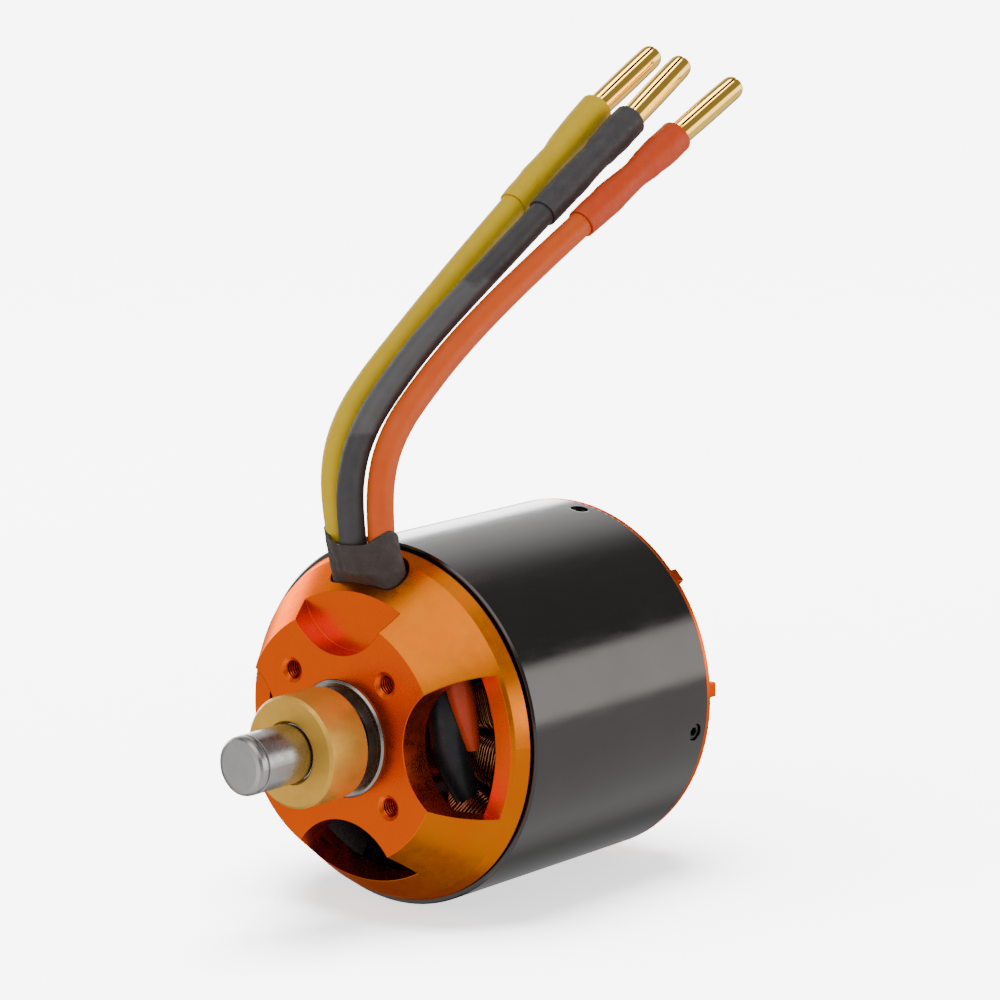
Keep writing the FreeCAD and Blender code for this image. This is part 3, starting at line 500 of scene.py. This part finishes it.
def bullet(colour, start, direction):
    """Gold-plated bullet: a turned pin sawn along its length, with a rounded, hollow tip."""
    facing, beside = frame_along(direction, Vector((0.6363, -0.7508, 0.1772)))
    slit_half_width = 0.17
    slit_angle = math.radians(-22.0)
    slit_floor = 0.5
    steps = 26
    profile = [
        (-1.5, 1.75, False), (0.9, 1.75, False), (1.0, 1.75, True), (3.0, 1.77, True), (6.5, 1.8, True),
        (10.0, 1.78, True), (12.6, 1.75, True), (13.1, 1.7, True), (13.5, 1.6, True), (13.8, 1.42, True),
        (13.97, 1.15, True), (14.0, 0.95, True), (13.9, 0.7, False), (13.2, 0.6, False), (12.6, 0.3, False),
    ]
    rings = []
    for height, radius, sawn in profile:
        edge = math.asin(min(slit_half_width / radius, 0.8))
        points = []
        for half in range(2):
            middle = slit_angle + math.pi * half
            floor = min(slit_floor, radius) if sawn else radius
            angles = [(middle - edge, radius), (middle - edge, floor), (middle + edge, floor),
                      (middle + edge, radius)]
            for step in range(1, steps):
                share = step / steps
                angles.append((middle + edge + (math.pi - 2.0 * edge) * share, radius))
            for angle, reach in angles:
                outward = facing * math.cos(angle) + beside * math.sin(angle)
                points.append(start + direction * (height * MM) + outward * (reach * MM))
        rings.append(points)
    piece = skin(f"bullet_pin_{colour}", rings, GOLD)
    piece.data.materials.append(SLIT_PAINTED_SHADE)
    # In each half of a ring the first three faces are the slit's two walls and its floor: they get the darker
    # gold, painted shade inside the sawn slit.
    faces_in_half = len(rings[0]) // 2
    wall_faces = (len(rings) - 1) * 2 * faces_in_half
    for index, face in enumerate(piece.data.polygons):
        if index < wall_faces and index % faces_in_half < 3:
            face.material_index = 1
    soften = piece.modifiers.new("edge_break", "BEVEL")
    soften.width = 0.05 * MM
    soften.segments = 2
    soften.limit_method = "ANGLE"
    soften.angle_limit = math.radians(50.0)
    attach(piece, "stator")
    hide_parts(f"bullet_{colour}")
    return piece


pins = []
for seed, (colour, route) in enumerate(LEAD_ROUTES.items()):
    lead = route_curve(f"lead_{colour}_insulation", route, LEAD_RADIUS)
    lead.data.materials.append(LEAD_FINISH[colour])
    end = Vector(route[-1]) * MM
    direction = (Vector(route[-1]) - Vector(route[-2])).normalized()
    sleeve = connector_sleeve(colour, end, direction, seed)
    leaning = (direction + BULLET_LEANS[colour]).normalized()
    pin = bullet(colour, end + direction * SLEEVE_LENGTH, leaning)
    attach(lead, "stator")
    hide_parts(f"lead_{colour}")
    pins.append(pin)

# ---------------------------------------------------------------- exit wrap


def exit_wrap():
    """Shrunk wrap that holds the leads: it comes out of the slot, leans forward and ends in two ears."""
    count, levels = 120, 44
    left_ear, left_point = 1.5, 8
    right_ear, right_point = 1.75, 14
    slot_outline = hull_points([(-3.85, 6.9, 2.12), (3.75, 6.9, 2.12)], count)
    waist_outline = hull_points([(-3.5, 6.2, 2.2), (0.9, 4.6, 2.3), (3.9, 6.3, 2.25)], count)
    top_outline = hull_points([(-2.95, 4.5, 2.18), (0.9, 2.7, 2.2), (4.15, 4.9, 2.2)], count)
    foot, top = 18.6, 26.3

    def outline(t):
        """The section at t = 0 in the slot, 0.5 at the waist and 1 at the top."""
        if t < 0.5:
            share = eased([(0.0, 0.0), (0.15, 0.0), (0.5, 1.0)], t)
            return [a.lerp(b, share) for a, b in zip(slot_outline, waist_outline)]
        share = (t - 0.5) * 2.0
        return [a.lerp(b, share) for a, b in zip(waist_outline, top_outline)]

    rings = []
    for level in range(levels + 1):
        t = level / levels
        section = outline(t)
        middle = sum(section, Vector((0.0, 0.0))) / count
        ring = []
        for point in section:
            offset = point - middle
            outward = offset.normalized()
            side = abs(outward.x)
            ear = right_ear * side ** right_point if outward.x > 0 else left_ear * side ** left_point
            ear -= 0.12 * max(0.0, -outward.y)
            fold = noise.noise(Vector((outward.x * 2.2, outward.y * 2.2, t * 2.0 + 3.0)))
            fine = noise.noise(Vector((outward.x * 7.0, outward.y * 7.0, t * 9.0)))
            swell = 0.22 * fold + 0.06 * fine + 0.22 * math.sin(math.pi * t) * max(0.0, -outward.y)
            flat = point + outward * (swell * min(1.0, 3.0 * t))
            height = foot + (top - foot) * t + ear * t ** 3
            ring.append(Vector((flat.x, flat.y, height)) * MM)
        rings.append(ring)
    centre = sum(rings[-1], Vector()) / count
    inner = [point.lerp(Vector((centre.x, centre.y, point.z)), 0.1) for point in rings[-1]]
    sunk = [Vector((point.x, point.y, (top - 0.3) * MM)) for point in inner]
    rings += [inner, sunk]
    piece = skin("exit_wrap_shrink", rings, WRAP)
    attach(piece, "stator")
    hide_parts("exit_wrap")


exit_wrap()

# ---------------------------------------------------------------- coil tails

TAIL_ROUTES = {
    "yellow": [
        (-3.9, 6.9, 19.3), (-4.7, 7.1, 15.8), (-8.4, 7.8, 12.4), (-12.7, 8.4, 8.6), (-15.0, 9.2, 3.4),
        (-15.4, 10.8, -0.8),
    ],
    "black": [
        (0.0, 6.9, 19.3), (0.4, 7.0, 15.7), (3.6, 7.7, 12.3), (8.6, 8.4, 9.2), (11.3, 8.9, 3.9),
        (11.2, 9.4, -2.9), (13.0, 10.5, -8.4),
    ],
    "orange": [
        (3.9, 6.9, 19.3), (5.2, 7.0, 16.7), (9.6, 7.6, 14.4), (13.0, 8.3, 9.8), (14.4, 9.0, 4.0),
        (14.6, 10.2, -1.4),
    ],
}
# The black and orange tails inside the motor get darker copies of their leads' silicone: painted shade for
# the dim inside.
TAIL_FINISH = {
    "yellow": LEAD_FINISH["yellow"],
    "black": silicone("tail_black_silicone_painted_shade", (0.01, 0.011, 0.014), (0.018, 0.018, 0.022), roughness=0.4),
    "orange": silicone("tail_orange_silicone_painted_shade", (0.5, 0.045, 0.004), (0.38, 0.03, 0.003), roughness=0.4),
}
# How thick each tail is at its last four points: the black one swells over its joint.
TAIL_ENDS = {
    "yellow": [1.0, 1.0, 0.95, 0.5],
    "black": [1.2, 1.5, 1.5, 0.9],
    "orange": [1.0, 1.0, 0.95, 0.5],
}
for colour, route in TAIL_ROUTES.items():
    tapers = [1.0] * (len(route) - 4) + TAIL_ENDS[colour]
    tail = route_curve(f"tail_{colour}", route, LEAD_RADIUS, tapers)
    tail.data.materials.append(TAIL_FINISH[colour])
    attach(tail, "stator")
    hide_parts(f"coil_tail_{colour}")

# ---------------------------------------------------------------- windings

TOOTH_COUNT = 12
FIRST_TOOTH_ANGLE = 15.0
COIL_INNER, COIL_OUTER = 12.7, 18.3
COIL_FRONT, COIL_BACK = 12.6, 45.0
CORE_FRONT, CORE_BACK = 17.0, 41.0
WIRE_RADIUS = 0.16
WIRE_SIDES = 6
LAYERS, TURNS = 2, 17


def turn_path(reach, half_width, front, back, tilt, corner, flare=0.0):
    """One turn of wire round a tooth: points (radius, sideways, along the shaft), with rounded corners.

    The end turns lean in over the yoke by flare.
    """
    points = []
    for centre_side, centre_along, start in (
        (1, back, 0.0), (-1, back, 90.0), (-1, front, 180.0), (1, front, 270.0),
    ):
        inward = -1 if centre_along == back else 1
        for step in range(5):
            angle = math.radians(start + 90.0 * step / 4)
            side = centre_side * (half_width - corner) + corner * math.cos(angle)
            along = centre_along + inward * corner + corner * math.sin(angle)
            beyond = max(CORE_FRONT - along, along - CORE_BACK, 0.0) / (CORE_FRONT - COIL_FRONT)
            points.append(Vector((reach + tilt * side - flare * min(beyond, 1.0), side, along)))
    return points


def winding(number, rng):
    """Many turns of enamelled wire round one tooth, over a closed core that fills the bundle."""
    build = bmesh.new()

    def add_turn(path, radius):
        rings = []
        count = len(path)
        for index, point in enumerate(path):
            ahead = (path[(index + 1) % count] - path[index - 1]).normalized()
            outward = Vector((1, 0, 0))
            beside = ahead.cross(outward).normalized()
            outward = beside.cross(ahead)
            ring = []
            for side in range(WIRE_SIDES):
                angle = math.tau * side / WIRE_SIDES
                spoke = outward * math.cos(angle) + beside * math.sin(angle)
                ring.append(build.verts.new(point + spoke * radius))
            rings.append(ring)
        for index, ring in enumerate(rings):
            following = rings[(index + 1) % count]
            for side in range(WIRE_SIDES):
                after = (side + 1) % WIRE_SIDES
                build.faces.new((ring[side], ring[after], following[after], following[side])).smooth = True

    for layer in range(LAYERS):
        for turn in range(TURNS):
            share = (turn + 0.5 * layer + 0.5) / (TURNS + 0.5)
            reach = COIL_INNER + 0.2 + (COIL_OUTER - COIL_INNER - 0.4) * share
            sink = 0.16 + 0.3 * layer
            loose = rng.uniform(0.0, 0.2)
            width = 2.75 + 1.45 * share - sink + 0.1
            front = COIL_FRONT + sink + loose + 1.1 * (2.0 * share - 1.0) ** 2
            back = COIL_BACK - sink - loose - 1.1 * (2.0 * share - 1.0) ** 2
            tilt = rng.uniform(-0.035, 0.035)
            flare = 2.4 * (1.0 - share) ** 1.2
            add_turn(turn_path(reach, width, front, back, tilt, 1.5, flare), WIRE_RADIUS)
    for share in (0.12, 0.5, 0.88):
        reach = COIL_INNER + (COIL_OUTER - COIL_INNER) * share
        add_turn(turn_path(reach, 2.2 + share, COIL_FRONT + 1.9, COIL_BACK - 1.9, 0.0, 1.0), 0.95)
    mesh = bpy.data.meshes.new(f"winding_{number:02d}")
    angle = math.radians(FIRST_TOOTH_ANGLE + 360.0 / TOOTH_COUNT * (number - 1))
    outward = Vector((math.cos(angle), 0.0, math.sin(angle)))
    sideways = Vector((-math.sin(angle), 0.0, math.cos(angle)))
    for vertex in build.verts:
        reach, side, along = vertex.co
        vertex.co = (outward * reach + sideways * side + Vector((0, along, 0))) * MM
    bmesh.ops.recalc_face_normals(build, faces=build.faces)
    build.to_mesh(mesh)
    build.free()
    mesh.materials.append(COPPER)
    piece = bpy.data.objects.new(mesh.name, mesh)
    scene.collection.objects.link(piece)
    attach(piece, "stator")
    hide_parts(f"coil_{number:02d}")


for number in range(1, TOOTH_COUNT + 1):
    winding(number, random.Random(number))

# ---------------------------------------------------------------- CAD parts

CAD_FINISH = {
    "mount_bracket": ORANGE_METAL,
    "end_bell": ORANGE_METAL,
    "flux_ring": CAN,
    "shaft": SHAFT,
    "shaft_collar": BRASS,
    "collar_set_screw": SCREW,
    "bell_set_screws": SCREW,
    "can_screws": SCREW,
    "stator_laminations": LAMINATIONS,
    "front_spacer": BEARING,
    "rear_spacer": BEARING,
}
# For the rest, the first of these words that is in the node's name.
FINISH_BY_WORD = {"magnet": MAGNET, "shield": SHIELD, "cage": CAGE, "bearing": BEARING}
for name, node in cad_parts.items():
    by_word = (finish for word, finish in FINISH_BY_WORD.items() if word in name)
    finish = CAD_FINISH.get(name) or next(by_word, None)
    if finish is not None:
        node.data.materials.clear()
        node.data.materials.append(finish)

# ---------------------------------------------------------------- floor and light

FLOOR_HEIGHT = -25.0 * MM
LAMP_HEIGHT = 0.625
FLOOR_BRIGHTNESS = 6.4
FLOOR_LAMP_SHARE = 5.0


def studio_bowl():
    """A pale floor that curves up into a wall all round. The camera sees it; the motor's metal does not."""
    flat, reach, height = 2.5, 4.5, 3.0
    profile = [(radius, 0.0) for radius in (0.15, 0.6, flat)]
    for step in range(1, 13):
        angle = math.radians(90.0 * step / 12)
        profile.append((flat + (reach - flat) * math.sin(angle), height * (1.0 - math.cos(angle))))
    build = bmesh.new()
    around = 96
    middle = build.verts.new((0.0, 0.0, FLOOR_HEIGHT))
    rings = []
    for radius, rise in profile:
        ring = []
        for step in range(around):
            angle = math.tau * step / around
            place = (radius * math.cos(angle), radius * math.sin(angle), FLOOR_HEIGHT + rise)
            ring.append(build.verts.new(place))
        rings.append(ring)
    for step in range(around):
        after = (step + 1) % around
        build.faces.new((middle, rings[0][step], rings[0][after]))
        for inner, outer in zip(rings, rings[1:]):
            build.faces.new((inner[step], outer[step], outer[after], inner[after])).smooth = True
    mesh = bpy.data.meshes.new("studio_bowl")
    build.to_mesh(mesh)
    build.free()
    bowl = bpy.data.objects.new("studio_bowl", mesh)
    scene.collection.objects.link(bowl)
    bowl.visible_glossy = False
    bowl.visible_diffuse = False
    bowl.visible_shadow = False
    finish = Surface("studio_white", (0.85, 0.85, 0.85), 0.6)
    finish.shader.inputs["Specular IOR Level"].default_value = 0.0
    finish.shader.inputs["Emission Color"].default_value = (1, 1, 1, 1)
    # The glow grows outwards as the floor lamp's light falls off, so that the floor stays evenly pale.
    squares = finish.math("ADD", finish.math("POWER", finish.x, 2.0), finish.math("POWER", finish.y, 2.0))
    squares = finish.math("MULTIPLY", squares, LAMP_HEIGHT ** -2)
    lit = finish.math("POWER", finish.math("ADD", squares, 1.0), -2.0)
    glow = finish.math("SUBTRACT", FLOOR_BRIGHTNESS, finish.math("MULTIPLY", lit, FLOOR_LAMP_SHARE))
    finish.put(finish.shader.inputs["Emission Strength"], glow)
    mesh.materials.append(finish.material)
    return bowl


def lamp_for(name, receivers, place, aim, size, power):
    """A soft round lamp that lights only the receivers and that the camera does not see."""
    lamp = bpy.data.lights.new(name, "AREA")
    lamp.shape = "DISK"
    lamp.size = size
    lamp.energy = power
    holder = bpy.data.objects.new(name, lamp)
    scene.collection.objects.link(holder)
    holder.location = place
    holder.rotation_euler = (Vector(aim) - holder.location).to_track_quat("-Z", "Y").to_euler()
    holder.visible_camera = False
    lit = bpy.data.collections.new(f"{name}_receivers")
    for receiver in receivers:
        lit.objects.link(receiver)
    holder.light_linking.receiver_collection = lit


lamp_for("floor_lamp", [studio_bowl()], (-0.05, 0.0, FLOOR_HEIGHT + LAMP_HEIGHT), (0.0, 0.02, 0.0), 0.5, 27.0)
lamp_for("bullet_lamp", pins, (0.0, 0.062, 0.48), (0.0, 0.062, 0.078), 0.36, 2.6)


class Studio:
    """Soft light from the world: a dim room with bright panels, placed by azimuth and elevation."""

    def __init__(self, room):
        self.world = bpy.data.worlds.new("studio")
        self.world.use_nodes = True
        self.tree = self.world.node_tree
        place = self.tree.nodes.new("ShaderNodeTexCoord")
        split = self.tree.nodes.new("ShaderNodeSeparateXYZ")
        self.tree.links.new(place.outputs["Generated"], split.inputs[0])
        x, y, z = split.outputs
        self.azimuth = self.math("MULTIPLY", self.math("ARCTAN2", x, y), 180.0 / math.pi)
        self.elevation = self.math("MULTIPLY", self.math("ARCSINE", z), 180.0 / math.pi)
        self.total = room
        scene.world = self.world

    def math(self, operation, a, b=None):
        node = self.tree.nodes.new("ShaderNodeMath")
        node.operation = operation
        for socket, value in zip(node.inputs, (a, b)):
            if isinstance(value, bpy.types.NodeSocket):
                self.tree.links.new(value, socket)
            elif value is not None:
                socket.default_value = value
        return node.outputs[0]

    def window(self, value, middle, half, soft):
        """One within half of the middle, falling smoothly to nothing over soft."""
        away = self.math("ABSOLUTE", self.math("SUBTRACT", value, middle))
        node = self.tree.nodes.new("ShaderNodeMapRange")
        node.interpolation_type = "SMOOTHSTEP"
        node.inputs["From Min"].default_value = half - 0.5 * soft
        node.inputs["From Max"].default_value = half + 0.5 * soft
        node.inputs["To Min"].default_value = 1.0
        node.inputs["To Max"].default_value = 0.0
        self.tree.links.new(away, node.inputs["Value"])
        return node.outputs[0]

    def panel(self, azimuths, elevations, strength, soft):
        """Add light between two azimuths, from +Y towards +X, and two elevations, all in degrees."""
        low, high = azimuths
        turned = self.math("SUBTRACT", self.azimuth, 0.5 * (low + high))
        wrapped = self.math("SUBTRACT", turned, self.math("MULTIPLY", self.math("ROUND", self.math(
            "DIVIDE", turned, 360.0)), 360.0))
        across = self.window(wrapped, 0.0, 0.5 * (high - low), soft[0])
        bottom, top = elevations
        up = self.window(self.elevation, 0.5 * (bottom + top), 0.5 * (top - bottom), soft[1])
        shape = self.math("MULTIPLY", across, up)
        self.total = self.math("ADD", self.math("MULTIPLY", shape, strength), self.total)

    def light(self):
        background = self.tree.nodes["Background"]
        self.tree.links.new(self.total, background.inputs["Strength"])
        background.inputs["Color"].default_value = (1, 1, 1, 1)


studio = Studio(0.3)
studio.panel((12, 98), (-4, 19), 2.9, (12, 5))            # strip behind on the right
studio.panel((-85, -22), (-2, 13), 7.5, (14, 8))          # bright wall behind on the left
studio.panel((-100, -8), (8, 40), 1.1, (22, 16))          # and its softer upper part
studio.panel((98, 200), (32, 90), 1.8, (16, 12))          # key overhead, in front on the right
studio.panel((-165, 98), (66, 90), 0.9, (24, 12))
studio.panel((0, 200), (-80, -3), 0.75, (30, 4))          # floor on the right and in front
studio.panel((-190, -110), (-80, 30), 0.75, (20, 20))     # front on the left
studio.light()

bpy.context.view_layer.update()
